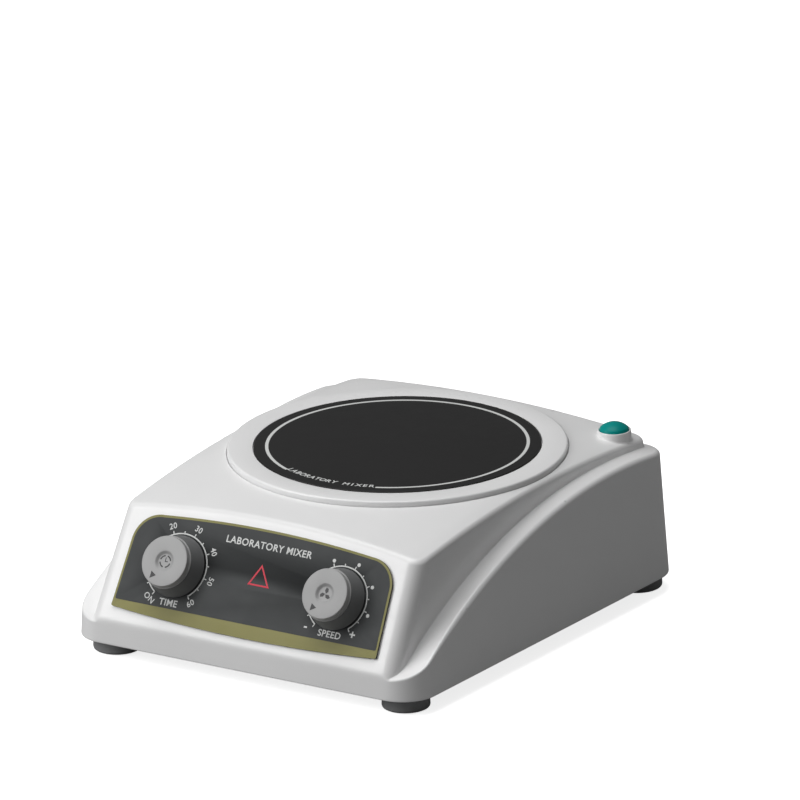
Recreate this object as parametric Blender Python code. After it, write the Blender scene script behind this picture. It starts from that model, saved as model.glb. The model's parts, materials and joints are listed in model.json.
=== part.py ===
"""Magnetic stirrer: moulded housing, lift-in stirring plate, two dials and a push button.

Frame: X to the right of someone facing the control panel, Y to the rear, Z up.
The origin is on the table, under the middle of the housing. Lengths below are in
millimetres and become metres where a mesh is made.
"""
import math

import bmesh
import bpy
from mathutils import Matrix, Vector

MM = 0.001
WELD = 4e-6  # metres
GAP = 0.3  # between pieces that touch on the real object

# --- housing, outer surfaces --------------------------------------------------
BASE_Z = 6.4  # underside of the housing, above the table
HALF_WIDTH = 80.1
FRONT_Y = -93.5
REAR_Y = 93.5
SIDE_DRAFT = math.tan(math.radians(3.6))  # moulding draft of the outer walls
END_DRAFT = math.tan(math.radians(2.5))
FRONT_RADIUS = 14.0
REAR_RADIUS = 16.0
WALL = 2.6

NOSE_Z = 16.3  # top of the low front wall
WING_CREST = (52.0, 57.7)  # highest point (y, z) of the wings' top
WING_RADIUS = 257.0
NOSE_Y = -80.0  # in front of it the wing flattens out
NOSE_LIFT = 0.0126

SLOPE_DEG = 60.0  # control face, from the horizontal
SLOPE_FOOT = (-93.15, NOSE_Z)
CORE_HALF_WIDTH = 70.1  # raised middle of the housing, at the foot of the slope
CORE_DRAFT = math.tan(math.radians(2.9))
CORE_REAR_Y = 87.2
CORE_FRONT_RADIUS = 6.0
CORE_REAR_RADIUS = 5.0

PLATE_Y = 17.0  # axis of the stirring plate and of the motor
DECK_TOP = 66.9  # crown of the deck, which falls away from it on every side
DECK_Y = 21.0
DECK_ACROSS = 1150.0  # twice the deck's radius across and along the housing
DECK_ALONG = 1180.0

# --- stirring plate -----------------------------------------------------------
PLATE_RADIUS = 65.5
PLATE_TOP = 65.15
PLATE_BOTTOM = 62.2
PLATE_BORE = 58.0
SEAT_BOTTOM = 58.4
DISC_RADIUS = 55.2
DISC_TOP = 65.4
DISC_BOTTOM = 63.7
PLATE_SCREW_RADIUS = 62.0

# --- control face, in the slope's own coordinates -----------------------------
DIAL_V = 25.5  # up the slope from its foot
TIME_U = -36.5
SPEED_U = 37.4
PANEL_BOTTOM_V = 6.6
PANEL_HALF_WIDTH = 61.0
PANEL_SIDE_TOP = (59.8, 32.4)
PANEL_CORNER = 11.8
PANEL_CREST_V = 46.5
PANEL_THICK = 0.8
PANEL_FACE = GAP + PANEL_THICK  # height of the panel's face over the slope
KNOB_RADIUS = 10.0
KNOB_HEIGHT = 11.3
SKIRT_RADIUS = 12.3  # foot of the dark cone under the knob's cap
SKIRT_TOP = 8.4
SHAFT_RADIUS = 2.7
BUSHING_RADIUS = 3.6

# --- button -------------------------------------------------------------------
BUTTON_X = 60.5
BUTTON_Y = 76.0
BUTTON_RADIUS = 5.5
BUTTON_RISE = 2.2
COLLAR_RADIUS = 6.5
COLLAR_TOP = 64.2
BUTTON_TRAVEL = 1.5

# --- drive --------------------------------------------------------------------
MOTOR_RADIUS = 19.0
MOTOR_BOTTOM = 15.5
MOTOR_TOP = 43.7
BRACKET_TOP = 46.0
SHEET = 2.0
YOKE_HALF = 31.0
MAGNET_X = 22.5

# --- base ---------------------------------------------------------------------
COVER_THICK = 2.5
COVER_TOP = BASE_Z + COVER_THICK
FOOT_X = 66.5
FOOT_FRONT_Y = -79.0
FOOT_REAR_Y = 81.0
FOOT_RADIUS = 9.5

BOARD = (-12.0, 50.0, 44.0, 84.0)  # x and y limits of the circuit board
BOARD_BOTTOM = 15.0
BOARD_TOP = 16.6

INLET_X = -38.0
INLET_Z = 30.0
INLET_RECESS = 2.9  # depth of the pocket its flange sits in

for stale in list(bpy.data.objects):
    bpy.data.objects.remove(stale, do_unlink=True)

SLOPE = math.radians(SLOPE_DEG)


# --- materials ----------------------------------------------------------------
def material(name, rgb, roughness, metallic=0.0):
    mat = bpy.data.materials.new(name)
    mat.use_nodes = True
    shader = mat.node_tree.nodes["Principled BSDF"]
    shader.inputs["Base Color"].default_value = (*rgb, 1.0)
    shader.inputs["Roughness"].default_value = roughness
    shader.inputs["Metallic"].default_value = metallic
    return mat


WHITE = material("white_abs", (0.76, 0.76, 0.75), 0.42)
GREY_ABS = material("grey_abs", (0.30, 0.30, 0.31), 0.55)
PANEL_GREY = material("panel_grey", (0.085, 0.09, 0.09), 0.45)
BLACK_GLASS = material("black_disc", (0.024, 0.024, 0.024), 0.35)
KNOB_GREY = material("knob_grey", (0.40, 0.40, 0.41), 0.45)
TEAL = material("teal_button", (0.01, 0.22, 0.19), 0.35)
RUBBER = material("rubber", (0.035, 0.035, 0.037), 0.85)
STEEL = material("zinc_steel", (0.60, 0.61, 0.62), 0.35, 1.0)
BRASS = material("brass", (0.72, 0.53, 0.22), 0.35, 1.0)
MAGNET = material("nickel_magnet", (0.52, 0.52, 0.53), 0.25, 1.0)
BLACK_PLASTIC = material("black_plastic", (0.02, 0.02, 0.02), 0.5)
BOARD_GREEN = material("board_green", (0.02, 0.16, 0.06), 0.5)
GLASS = material("fuse_glass", (0.75, 0.78, 0.78), 0.1)


# --- mesh tools ---------------------------------------------------------------
def make_object(name, bm, mat=None, matrix=None):
    """Turn a bmesh in millimetres into an object in metres."""
    bmesh.ops.remove_doubles(bm, verts=bm.verts, dist=1e-4)
    bmesh.ops.recalc_face_normals(bm, faces=bm.faces)
    bmesh.ops.scale(bm, vec=(MM, MM, MM), verts=bm.verts)
    mesh = bpy.data.meshes.new(name)
    bm.to_mesh(mesh)
    bm.free()
    mesh.shade_smooth()
    mesh.set_sharp_from_angle(angle=math.radians(35))
    if mat:
        mesh.materials.append(mat)
    obj = bpy.data.objects.new(name, mesh)
    bpy.context.scene.collection.objects.link(obj)
    if matrix is not None:
        obj.matrix_world = matrix
    return obj


def loft(name, lower, upper, mat=None, matrix=None):
    """Solid between two loops with the same number of 3-D points."""
    bm = bmesh.new()
    low = [bm.verts.new(p) for p in lower]
    high = [bm.verts.new(p) for p in upper]
    bm.faces.new(low)
    bm.faces.new(high)
    for i in range(len(low)):
        j = (i + 1) % len(low)
        bm.faces.new((low[i], low[j], high[j], high[i]))
    return make_object(name, bm, mat, matrix)


def prism(name, outline, bottom, top, mat=None, matrix=None):
    """Outline in XY, extruded from bottom to top."""
    lower = [(x, y, bottom) for x, y in outline]
    upper = [(x, y, top) for x, y in outline]
    return loft(name, lower, upper, mat, matrix)


def side_prism(name, outline, half_width):
    """Outline in YZ, extruded to both sides along X."""
    left = [(-half_width, y, z) for y, z in outline]
    right = [(half_width, y, z) for y, z in outline]
    return loft(name, left, right)


def box(name, xs, ys, zs, mat=None, matrix=None):
    outline = [(xs[0], ys[0]), (xs[1], ys[0]), (xs[1], ys[1]), (xs[0], ys[1])]
    return prism(name, outline, zs[0], zs[1], mat, matrix)


def lathe(name, profile, segments, mat=None, matrix=None):
    """Spin a closed (radius, height) profile about Z."""
    bm = bmesh.new()
    verts = [bm.verts.new((r, 0.0, z)) for r, z in profile]
    edges = [bm.edges.new((verts[i], verts[(i + 1) % len(verts)])) for i in range(len(verts))]
    on_axis = [e for e in edges if e.verts[0].co.x == 0.0 and e.verts[1].co.x == 0.0]
    for edge in on_axis:
        edges.remove(edge)
        bm.edges.remove(edge)
    bmesh.ops.spin(bm, geom=verts + edges, cent=(0, 0, 0), axis=(0, 0, 1),
                   angle=2 * math.pi, steps=segments, use_merge=True)
    return make_object(name, bm, mat, matrix)


def rod(name, radius, bottom, top, segments=16, mat=None, matrix=None):
    return lathe(name, [(0, bottom), (radius, bottom), (radius, top), (0, top)],
                 segments, mat, matrix)


def arc(cx, cy, radius, start, end, steps):
    """Points on a circular arc, angles in degrees."""
    points = []
    for i in range(steps + 1):
        a = math.radians(start + (end - start) * i / steps)
        points.append((cx + radius * math.cos(a), cy + radius * math.sin(a)))
    return points


def rounded(x0, x1, y0, y1, r_front, r_rear, steps=6):
    """Rectangle with rounded corners; its own radius at the front and the rear."""
    points = arc(x1 - r_front, y0 + r_front, r_front, -90, 0, steps)
    points += arc(x1 - r_rear, y1 - r_rear, r_rear, 0, 90, steps)
    points += arc(x0 + r_rear, y1 - r_rear, r_rear, 90, 180, steps)
    points += arc(x0 + r_front, y0 + r_front, r_front, 180, 270, steps)
    return points


def weld(mesh):
    """Merge the coincident vertices a Boolean leaves along shared faces."""
    bm = bmesh.new()
    bm.from_mesh(mesh)
    bmesh.ops.remove_doubles(bm, verts=bm.verts, dist=WELD)
    bmesh.ops.dissolve_degenerate(bm, edges=bm.edges, dist=WELD)
    bm.to_mesh(mesh)
    bm.free()


def combine(target, tool, operation):
    """Apply a Boolean to target and discard the tool."""
    step = target.modifiers.new("combine", "BOOLEAN")
    step.operation = operation
    step.solver = "EXACT"
    step.object = tool
    tool.hide_render = True
    tool.display_type = "WIRE"
    bpy.context.view_layer.update()
    graph = bpy.context.evaluated_depsgraph_get()
    mesh = bpy.data.meshes.new_from_object(target.evaluated_get(graph))
    mesh.name = target.name
    weld(mesh)
    target.modifiers.remove(step)
    target.data = mesh
    bpy.data.objects.remove(tool, do_unlink=True)
    return target


def cut(target, *tools):
    for tool in tools:
        combine(target, tool, "DIFFERENCE")
    return target


def join(target, *tools):
    for tool in tools:
        combine(target, tool, "UNION")
    return target


def at(x, y, z=0.0):
    return Matrix.Translation(Vector((x, y, z)) * MM)


def on_slope(u, v):
    """Frame on the control face: local Z points out of it, local Y up the slope."""
    y = SLOPE_FOOT[0] + v * math.cos(SLOPE)
    z = SLOPE_FOOT[1] + v * math.sin(SLOPE)
    return at(u, y, z) @ Matrix.Rotation(SLOPE, 4, "X")


def inlet_frame():
    """Frame on the pocket floor in the rear wall: local Z points out, local Y up."""
    y = REAR_Y - (INLET_Z - BASE_Z) * END_DRAFT
    lean = math.pi / 2 - math.atan(END_DRAFT)
    turn = Matrix.Rotation(math.pi, 4, "Z") @ Matrix.Rotation(lean, 4, "X")
    return at(INLET_X, y, INLET_Z) @ turn @ at(0, 0, -INLET_RECESS)


# --- housing ------------------------------------------------------------------
def body_loop(z, inset):
    """Outer wall of the wide body at height z, moved inwards by inset."""
    side = (z - BASE_Z) * SIDE_DRAFT + inset
    end = (z - BASE_Z) * END_DRAFT + inset
    outline = rounded(-HALF_WIDTH + side, HALF_WIDTH - side, FRONT_Y + end, REAR_Y - end,
                      FRONT_RADIUS - side, REAR_RADIUS - side, 7)
    return [(x, y, z) for x, y in outline]


def core_loop(z, inset):
    """Wall of the raised middle at height z; its front leans back as the control face."""
    half = CORE_HALF_WIDTH - (z - NOSE_Z) * CORE_DRAFT - inset
    front = SLOPE_FOOT[0] + (z - SLOPE_FOOT[1]) / math.tan(SLOPE) + inset / math.sin(SLOPE)
    rear = CORE_REAR_Y - (z - DECK_TOP) * END_DRAFT - inset
    outline = rounded(-half, half, front, rear,
                      CORE_FRONT_RADIUS - inset, max(CORE_REAR_RADIUS - inset, 0.6), 4)
    return [(x, y, z) for x, y in outline]


def wing_height(y, inset):
    radius = WING_RADIUS - inset
    centre_z = WING_CREST[1] - WING_RADIUS
    lift = NOSE_LIFT * max(0.0, NOSE_Y - y) ** 2
    return centre_z + math.sqrt(radius ** 2 - (y - WING_CREST[0]) ** 2) + lift


def wing_outline(inset, bottom):
    """Side view (y, z) of the wide body: low nose, then the long rising arc."""
    reach = 108.0
    steps = 27
    points = [(-reach, bottom), (reach, bottom)]
    for i in range(steps + 1):
        y = reach - 2 * reach * i / steps
        points.append((y, wing_height(y, inset)))
    return points


def deck_height(x, y):
    return DECK_TOP - x ** 2 / DECK_ACROSS - (y - DECK_Y) ** 2 / DECK_ALONG


def dome_block(name, drop):
    """Block under the domed deck surface, lowered by drop."""
    xs = [-78.0 + 12.0 * i for i in range(14)]
    ys = [-100.0 + 12.0 * i for i in range(18)]
    bm = bmesh.new()
    bmesh.ops.create_grid(bm, x_segments=len(xs) - 1, y_segments=len(ys) - 1, size=1.0)
    for vert in bm.verts:
        vert.co.x = 78.0 * vert.co.x
        vert.co.y = 2.0 + 102.0 * vert.co.y
    for vert in bm.verts:
        vert.co.z = deck_height(vert.co.x, vert.co.y) - drop
    grown = bmesh.ops.extrude_face_region(bm, geom=list(bm.faces))
    for item in grown["geom"]:
        if isinstance(item, bmesh.types.BMVert):
            item.co.z = 4.0
    return make_object(name, bm)


def housing_solid(name, inset, bottom):
    """Wide body and raised middle together, as one closed solid."""
    solid = side_prism(name, wing_outline(inset, bottom), 95.0)
    core = loft("core", core_loop(12.0, inset), core_loop(74.0, inset))
    combine(core, dome_block("deck", inset), "INTERSECT")
    join(solid, core)
    walls = loft("walls", body_loop(bottom, inset), body_loop(76.0, inset))
    return combine(solid, walls, "INTERSECT")


def foot_places():
    for x_side, x_name in ((-1, "left"), (1, "right")):
        for y, y_name in ((FOOT_FRONT_Y, "front"), (FOOT_REAR_Y, "rear")):
            yield f"{y_name}_{x_name}", x_side * FOOT_X, y


def plate_screw_places():
    for i, angle in enumerate((45, 135, 225, 315), start=1):
        a = math.radians(angle)
        yield i, PLATE_SCREW_RADIUS * math.cos(a), PLATE_Y + PLATE_SCREW_RADIUS * math.sin(a)


def housing_shell():
    shell = housing_solid("housing_shell", 0.0, BASE_Z)
    shell.data.materials.append(WHITE)
    hollow = housing_solid("hollow", WALL, 1.0)
    # Material left standing inside: plate seat, screw bosses and the button's guide.
    cut(hollow, rod("seat", 70.5, SEAT_BOTTOM, 70.0, 64, matrix=at(0, PLATE_Y)))
    for _, x, y in foot_places():
        boss_top = 40.0 if y < 0 else 26.0
        cut(hollow, rod("boss", 4.8, COVER_TOP + GAP, boss_top, 16, matrix=at(x, y)))
        if y > 0:
            ends = sorted((x, math.copysign(85.0, x)))
            cut(hollow, box("web", ends, (y - 1.4, y + 1.4), (COVER_TOP + GAP, 25.6)))
    guide = box("guide", (-9.3, 9.3), (-9.3, 9.3), (44.0, 66.0), matrix=at(BUTTON_X, BUTTON_Y))
    cut(guide, box("well", (-7.8, 7.8), (-7.8, 7.8), (40.0, 57.9),
                   matrix=at(BUTTON_X, BUTTON_Y)))
    cut(hollow, guide)
    cut(hollow, box("pocket_wall", (-28, 28), (-19, 19), (-WALL, 5.0), matrix=inlet_frame()))
    cut(shell, hollow)
    join(shell, rod("collar", COLLAR_RADIUS, 59.0, COLLAR_TOP, 32,
                    matrix=at(BUTTON_X, BUTTON_Y)))
    # Openings.
    recess = [(0, 50.0), (PLATE_BORE, 50.0), (PLATE_BORE, PLATE_BOTTOM - GAP),
              (PLATE_RADIUS + GAP, PLATE_BOTTOM - GAP), (PLATE_RADIUS + GAP, 70.0), (0, 70.0)]
    cut(shell, lathe("plate_recess", recess, 64, matrix=at(0, PLATE_Y)))
    cut(shell, rod("button_hole", BUTTON_RADIUS + 0.35, 50.0, 70.0, 32,
                   matrix=at(BUTTON_X, BUTTON_Y)))
    for u in (TIME_U, SPEED_U):
        cut(shell, rod("shaft_hole", BUSHING_RADIUS + 0.5, -8.0, 4.0, 20,
                       matrix=on_slope(u, DIAL_V)))
    for _, x, y in plate_screw_places():
        cut(shell, rod("screw_hole", 1.9, 55.0, 63.0, 12, matrix=at(x, y)))
    for _, x, y in foot_places():
        cut(shell, rod("screw_hole", 2.1, 4.0, 16.0, 12, matrix=at(x, y)))
    cut(shell, box("pocket", (-25.4, 25.4), (-16.4, 16.4), (0.0, 8.0), matrix=inlet_frame()))
    cut(shell, box("inlet_hole", (-14.2, 14.2), (-14.6, 14.6), (-8.0, 6.0),
                   matrix=inlet_frame()))
    for side in (-1, 1):
        cut(shell, rod("screw_hole", 1.7, -8.0, 6.0, 12,
                       matrix=inlet_frame() @ at(side * 20.0, 0)))
    return shell


# --- base ---------------------------------------------------------------------
def screw(name, head_radius, head_bottom, head_top, shank_radius, end, matrix):
    """Pan-head screw with its head below and its shank up to end (or down to it)."""
    joint = head_top if end > head_top else head_bottom
    far = head_bottom if end > head_top else head_top
    profile = [(0, far), (head_radius * 0.8, far), (head_radius, (far + joint) / 2),
               (head_radius, joint), (shank_radius, joint), (shank_radius, end), (0, end)]
    return lathe(name, profile, 12, STEEL, matrix)


def bracket_screw_places():
    for i, (x, y) in enumerate(((-41, -12), (41, -12), (-41, 12), (41, 12)), start=1):
        yield i, x, PLATE_Y + y


def board_screw_places():
    x0, x1, y0, y1 = BOARD
    for i, (x, y) in enumerate(((x0, y0), (x1, y0), (x0, y1), (x1, y1)), start=1):
        yield i, x + math.copysign(4.0, 19.0 - x), y + math.copysign(4.0, 64.0 - y)


def bottom_cover():
    inset = WALL + 0.4
    cover = loft("bottom_cover", body_loop(BASE_Z, inset),
                 [(x, y, COVER_TOP) for x, y, _ in body_loop(BASE_Z, inset)], GREY_ABS)
    for _, x, y in board_screw_places():
        join(cover, rod("post", 3.4, COVER_TOP - 1.0, BOARD_BOTTOM - GAP, 16, matrix=at(x, y)))
        cut(cover, rod("post_hole", 1.45, 10.0, 20.0, 12, matrix=at(x, y)))
    for _, x, y in foot_places():
        cut(cover, rod("hole", 2.2, 4.0, 12.0, 12, matrix=at(x, y)))
    for _, x, y in bracket_screw_places():
        cut(cover, rod("hole", 1.9, 4.0, 12.0, 12, matrix=at(x, y)))
    for i in range(5):
        y = -50.0 + 8.0 * i
        slot = rounded(-22.0, 22.0, y - 1.6, y + 1.6, 1.5, 1.5, 3)
        cut(cover, prism("vent", slot, 4.0, 12.0))
    return cover


def feet():
    top = BASE_Z - GAP
    profile = [(2.3, 2.8), (5.2, 2.8), (5.2, 0.0), (FOOT_RADIUS - 1.2, 0.0),
               (FOOT_RADIUS, 1.3), (FOOT_RADIUS - 0.3, top), (2.3, top)]
    for place, x, y in foot_places():
        lathe(f"foot_{place}", profile, 24, RUBBER, at(x, y))
        screw(f"foot_screw_{place}", 4.2, 0.7, 2.5, 1.7, 15.6, at(x, y))


# --- stirring plate -----------------------------------------------------------
def stirring_plate():
    axis = at(0, PLATE_Y)
    edge = arc(PLATE_RADIUS - 0.9, PLATE_TOP - 0.9, 0.9, 0, 90, 3)
    profile = [(0, PLATE_BOTTOM), (54.0, PLATE_BOTTOM), (54.0, 59.6), (57.6, 59.6),
               (57.6, PLATE_BOTTOM), (PLATE_RADIUS, PLATE_BOTTOM), *edge,
               (DISC_RADIUS + 0.4, PLATE_TOP), (DISC_RADIUS + 0.4, DISC_BOTTOM - GAP),
               (0, DISC_BOTTOM - GAP)]
    plate = lathe("top_plate", profile, 64, WHITE, axis)
    for i, x, y in plate_screw_places():
        cut(plate, rod("hole", 1.75, 60.0, 64.0, 12, matrix=at(x, y)))
        screw(f"plate_screw_{i}", 3.0, 56.3, SEAT_BOTTOM - GAP, 1.4, 63.7, at(x, y))
    disc = [(0, DISC_BOTTOM), (DISC_RADIUS, DISC_BOTTOM), (DISC_RADIUS, DISC_TOP - 0.25),
            (DISC_RADIUS - 0.25, DISC_TOP), (0, DISC_TOP)]
    lathe("plate_disc", disc, 64, BLACK_GLASS, axis)


# --- control face -------------------------------------------------------------
def panel_outline():
    """Panel edge: straight foot and sides, wide corners, softly arched top."""
    side_x, side_v = PANEL_SIDE_TOP
    corner_x = side_x - PANEL_CORNER
    crown_v = side_v + PANEL_CORNER
    rise = PANEL_CREST_V - crown_v
    right = [(PANEL_HALF_WIDTH, PANEL_BOTTOM_V)]
    right += arc(corner_x, side_v, PANEL_CORNER, 0, 90, 8)
    right += [(corner_x * (1 - i / 6), crown_v + rise * (1 - (1 - i / 6) ** 2))
              for i in range(1, 7)]
    left = [(-x, v) for x, v in reversed(right[:-1])]
    return right + left


def control_panel():
    panel = prism("control_panel", panel_outline(), GAP, PANEL_FACE, PANEL_GREY,
                  on_slope(0, 0))
    for u in (TIME_U, SPEED_U):
        cut(panel, rod("shaft_hole", BUSHING_RADIUS + 0.5, -2.0, 4.0, 20,
                       matrix=on_slope(u, DIAL_V)))
    return panel


def knob(name, u):
    """Light cap with a dished face, on a dark conical skirt."""
    frame = on_slope(u, DIAL_V)
    under = SKIRT_TOP + GAP
    bore = SHAFT_RADIUS + 0.35
    dish = [(4.2 * (1 - i / 4), KNOB_HEIGHT - 0.8 * (1 - (1 - i / 4) ** 2)) for i in range(5)]
    cap = [(5.9, under), (KNOB_RADIUS + 0.5, under), (KNOB_RADIUS + 0.5, under + 0.4),
           (KNOB_RADIUS + 0.1, under + 0.55), (KNOB_RADIUS, KNOB_HEIGHT - 0.3),
           (KNOB_RADIUS - 0.3, KNOB_HEIGHT), *dish, (0, 8.6), (bore, 8.6), (bore, 5.1),
           (5.9, 5.1)]
    lathe(f"{name}_knob", cap, 32, KNOB_GREY, frame)
    foot = PANEL_FACE + 0.4
    skirt = [(6.2, SKIRT_TOP), (KNOB_RADIUS + 0.4, SKIRT_TOP), (SKIRT_RADIUS, foot),
             (SKIRT_RADIUS - 1.3, foot), (KNOB_RADIUS - 0.4, SKIRT_TOP - 1.2),
             (6.2, SKIRT_TOP - 1.2)]
    lathe(f"{name}_skirt", skirt, 32, BLACK_PLASTIC, frame)


def dial_drive(name, u, body_outline, depth):
    """Control behind a knob: bushed body, its turning shaft and its fixing nut."""
    frame = on_slope(u, DIAL_V)
    behind = -WALL - GAP
    body = prism(f"{name}_body", body_outline, -depth, behind, BLACK_PLASTIC, frame)
    join(body, rod("bushing", BUSHING_RADIUS, behind - 1.0, PANEL_FACE + 3.6, 20, matrix=frame))
    cut(body, rod("bore", SHAFT_RADIUS + 0.35, -13.0, 8.0, 20, matrix=frame))
    rod(f"{name}_shaft", SHAFT_RADIUS, -12.6, 8.2, 20, STEEL, frame)
    hexagon = [(6.3 * math.cos(math.radians(60 * i)), 6.3 * math.sin(math.radians(60 * i)))
               for i in range(6)]
    nut = prism(f"{name}_nut", hexagon, PANEL_FACE + GAP, PANEL_FACE + 2.5, STEEL, frame)
    cut(nut, rod("thread", BUSHING_RADIUS + 0.35, 0.0, 6.0, 20, matrix=frame))


def control_face():
    control_panel()
    knob("time", TIME_U)
    knob("speed", SPEED_U)
    dial_drive("timer", TIME_U, rounded(-15, 15, -14, 14, 2, 2, 2), 24.9)
    dial_drive("speed_control", SPEED_U, arc(0, 0, 12.0, 0, 345, 23), 15.0)


# --- button -------------------------------------------------------------------
def power_button():
    frame = at(BUTTON_X, BUTTON_Y)
    base = COLLAR_TOP + 0.75
    ball = (BUTTON_RADIUS ** 2 + BUTTON_RISE ** 2) / (2 * BUTTON_RISE)
    lean = math.degrees(math.asin(BUTTON_RADIUS / ball))
    dome = arc(0, base + BUTTON_RISE - ball, ball, 90 - lean, 90, 6)
    dome[-1] = (0, dome[-1][1])
    low = 55.6
    switch_top = low - 0.7 - BUTTON_TRAVEL - GAP
    profile = [(0, low - 0.7), (2.0, low - 0.7), (2.0, low), (BUTTON_RADIUS, low), *dome]
    button = lathe("power_button", profile, 28, TEAL, frame)
    join(button, box("tabs", (-2.5, 2.5), (-7.2, 7.2), (low, low + 1.2), matrix=frame))
    switch = prism("power_switch", rounded(-7, 7, -7, 7, 1, 1, 2), 36.0, switch_top,
                   BLACK_PLASTIC, frame)
    for side in (-1, 1):
        join(switch, box("tag", (side * 3.5 - 0.4, side * 3.5 + 0.4), (-1.5, 1.5),
                         (31.0, 37.0), matrix=frame))


# --- drive --------------------------------------------------------------------
def motor():
    axis = at(0, PLATE_Y)
    boss_top = BRACKET_TOP + 1.5
    profile = [(0, MOTOR_BOTTOM), (MOTOR_RADIUS - 1.0, MOTOR_BOTTOM),
               (MOTOR_RADIUS, MOTOR_BOTTOM + 1.0), (MOTOR_RADIUS, MOTOR_TOP - 1.0),
               (MOTOR_RADIUS - 1.0, MOTOR_TOP), (6.0, MOTOR_TOP), (6.0, boss_top),
               (2.5, boss_top), (2.5, 28.0), (0, 28.0)]
    can = lathe("motor_can", profile, 36, STEEL, axis)
    for side, label in ((-1, "left"), (1, "right")):
        place = at(side * 11.0, PLATE_Y)
        cut(can, rod("hole", 1.8, 38.0, 46.0, 12, matrix=place))
        screw(f"motor_screw_{label}", 2.8, BRACKET_TOP + GAP, BRACKET_TOP + 2.1, 1.4,
              38.5, place)
    rod("motor_shaft", 2.0, 28.6, 54.6, 16, STEEL, axis)


def motor_bracket():
    """Folded steel bridge over the motor, with a flange on each side."""
    top = BRACKET_TOP
    low = COVER_TOP + GAP
    legs = [(-47, low), (-33, low), (-33, top - SHEET), (33, top - SHEET), (33, low),
            (47, low), (47, low + SHEET), (35, low + SHEET), (35, top), (-35, top),
            (-35, low + SHEET), (-47, low + SHEET)]
    front = [(x, PLATE_Y - 20, z) for x, z in legs]
    rear = [(x, PLATE_Y + 20, z) for x, z in legs]
    bracket = loft("motor_bracket", front, rear, STEEL)
    cut(bracket, rod("hole", 6.4, 40.0, 50.0, 24, matrix=at(0, PLATE_Y)))
    for side in (-1, 1):
        cut(bracket, rod("hole", 1.8, 40.0, 50.0, 12, matrix=at(side * 11.0, PLATE_Y)))
    for i, x, y in bracket_screw_places():
        cut(bracket, rod("hole", 1.9, 5.0, 15.0, 12, matrix=at(x, y)))
        screw(f"bracket_screw_{i}", 3.0, 4.4, BASE_Z - GAP, 1.5, 11.0, at(x, y))


def magnet_drive():
    """Bar yoke on the motor shaft with a magnet at each end."""
    axis = at(0, PLATE_Y)
    bar = rounded(-YOKE_HALF, YOKE_HALF, -8.0, 8.0, 7.9, 7.9, 6)
    yoke = prism("magnet_yoke", bar, 52.0, 55.0, STEEL, axis)
    join(yoke, rod("hub", 6.0, 48.6, 53.0, 24, matrix=axis))
    cut(yoke, rod("bore", 2.35, 40.0, 60.0, 16, matrix=axis))
    sideways = axis @ at(0, 0, 50.2) @ Matrix.Rotation(math.pi / 2, 4, "X")
    cut(yoke, rod("thread", 1.35, 1.0, 8.0, 12, matrix=sideways))
    rod("yoke_set_screw", 1.0, 2.4, 5.6, 12, BLACK_PLASTIC, sideways)
    for side, label in ((-1, "south"), (1, "north")):
        rod(f"drive_magnet_{label}", 7.0, 55.3, 60.3, 24, MAGNET,
            at(side * MAGNET_X, PLATE_Y))


# --- electronics --------------------------------------------------------------
def electronics():
    x0, x1, y0, y1 = BOARD
    board = box("control_board", (x0, x1), (y0, y1), (BOARD_BOTTOM, BOARD_TOP), BOARD_GREEN)
    for i, x, y in board_screw_places():
        cut(board, rod("hole", 1.6, 10.0, 20.0, 12, matrix=at(x, y)))
        screw(f"board_screw_{i}", 2.5, BOARD_TOP + GAP, BOARD_TOP + 1.9, 1.1, 10.4, at(x, y))
    low = BOARD_TOP + GAP
    core = box("board_transformer", (-8, 20), (56, 78), (low + 3, low + 17), STEEL)
    join(core, box("bobbin", (-4, 16), (54, 80), (low, low + 20)))
    core.data.materials[0] = BLACK_PLASTIC
    rod("board_capacitor", 5.0, low, low + 14, 20, BLACK_PLASTIC, at(31, 51))
    sink = box("triac_heatsink", (28, 46), (70, 72), (low, low + 16), STEEL)
    for i in range(4):
        x = 28 + 16 / 3 * i
        join(sink, box("fin", (x, x + 2), (66, 71), (low, low + 16)))
    box("terminal_block", (-2, 18), (45.5, 52.5), (low, low + 9), BOARD_GREEN)


# --- mains inlet --------------------------------------------------------------
def socket_outline(x, y0, y1, chamfer):
    """Inlet recess: a rectangle with its two upper corners cut off."""
    return [(-x, y0), (x, y0), (x, y1 - chamfer), (x - chamfer, y1),
            (-x + chamfer, y1), (-x, y1 - chamfer)]


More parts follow.
